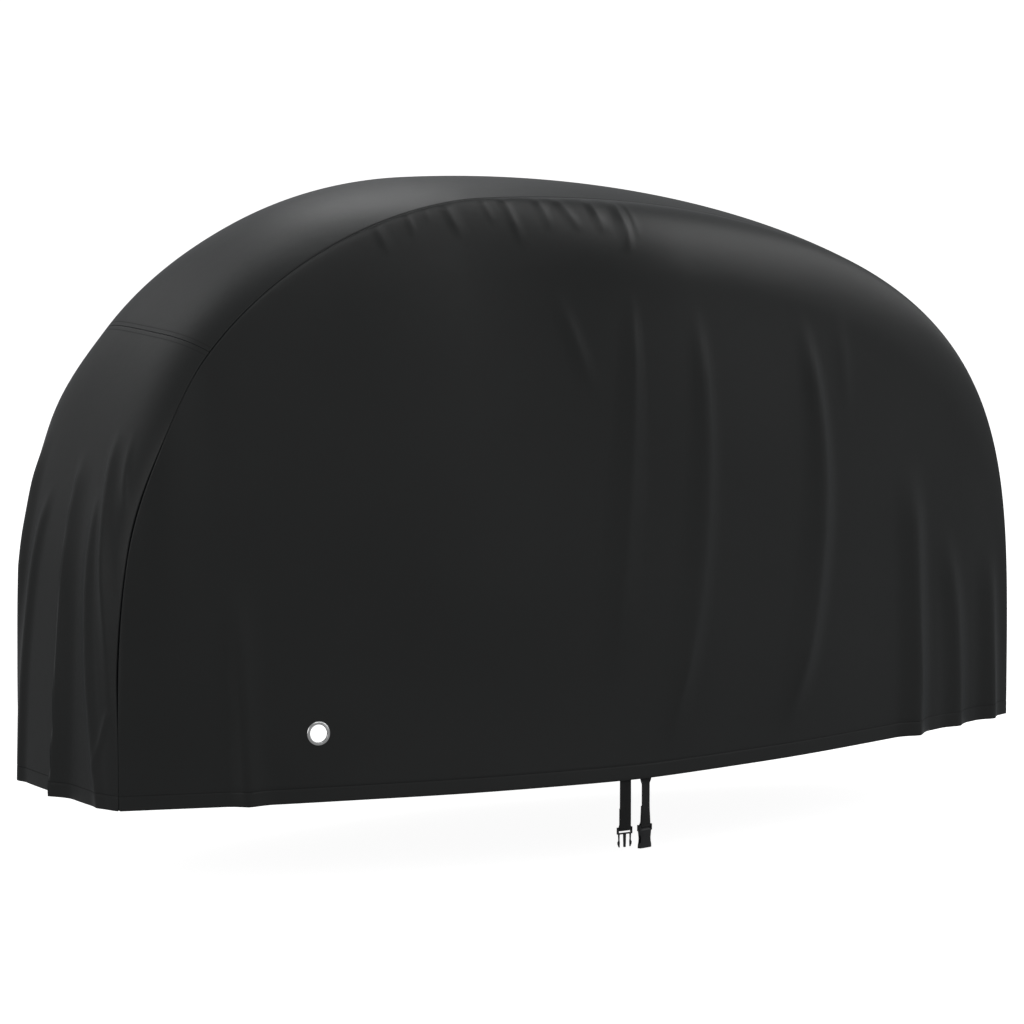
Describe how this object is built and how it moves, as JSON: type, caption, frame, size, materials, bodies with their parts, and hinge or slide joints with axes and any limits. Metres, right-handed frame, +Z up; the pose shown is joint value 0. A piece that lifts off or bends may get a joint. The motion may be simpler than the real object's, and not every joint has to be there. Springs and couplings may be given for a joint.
{
  "type": "bicycle cover",
  "caption": "Black coated-cloth cover for a bicycle: a tall half-oval hood, open below, with metal eyelets low at the front and straps with a side-release buckle inside the hem.",
  "frame": {"origin": "on the middle plane at mid-length, level with the top of the seams and just under the cloth of the top", "axes": "+X along the length from the front end, which has the eyelets, to the rear end; +Y across, from the left panel to the right panel; +Z up"},
  "size_m": [2.0593, 0.8505, 1.2512],
  "materials": {
    "cloth": "black woven cloth with a satin coating",
    "webbing": "black ribbed webbing",
    "buckle_plastic": "black moulded plastic, satin",
    "eyelet_metal": "bright nickel plate"
  },
  "bodies": {
    "root": {"side_panel_left": "cloth", "side_panel_right": "cloth", "gusset_front": "cloth", "gusset_top": "cloth", "eyelet_left": "eyelet_metal", "eyelet_right": "eyelet_metal", "strap_male": "webbing", "strap_female": "webbing", "buckle_male": "buckle_plastic", "buckle_female": "buckle_plastic"}
  },
  "joints": []
}
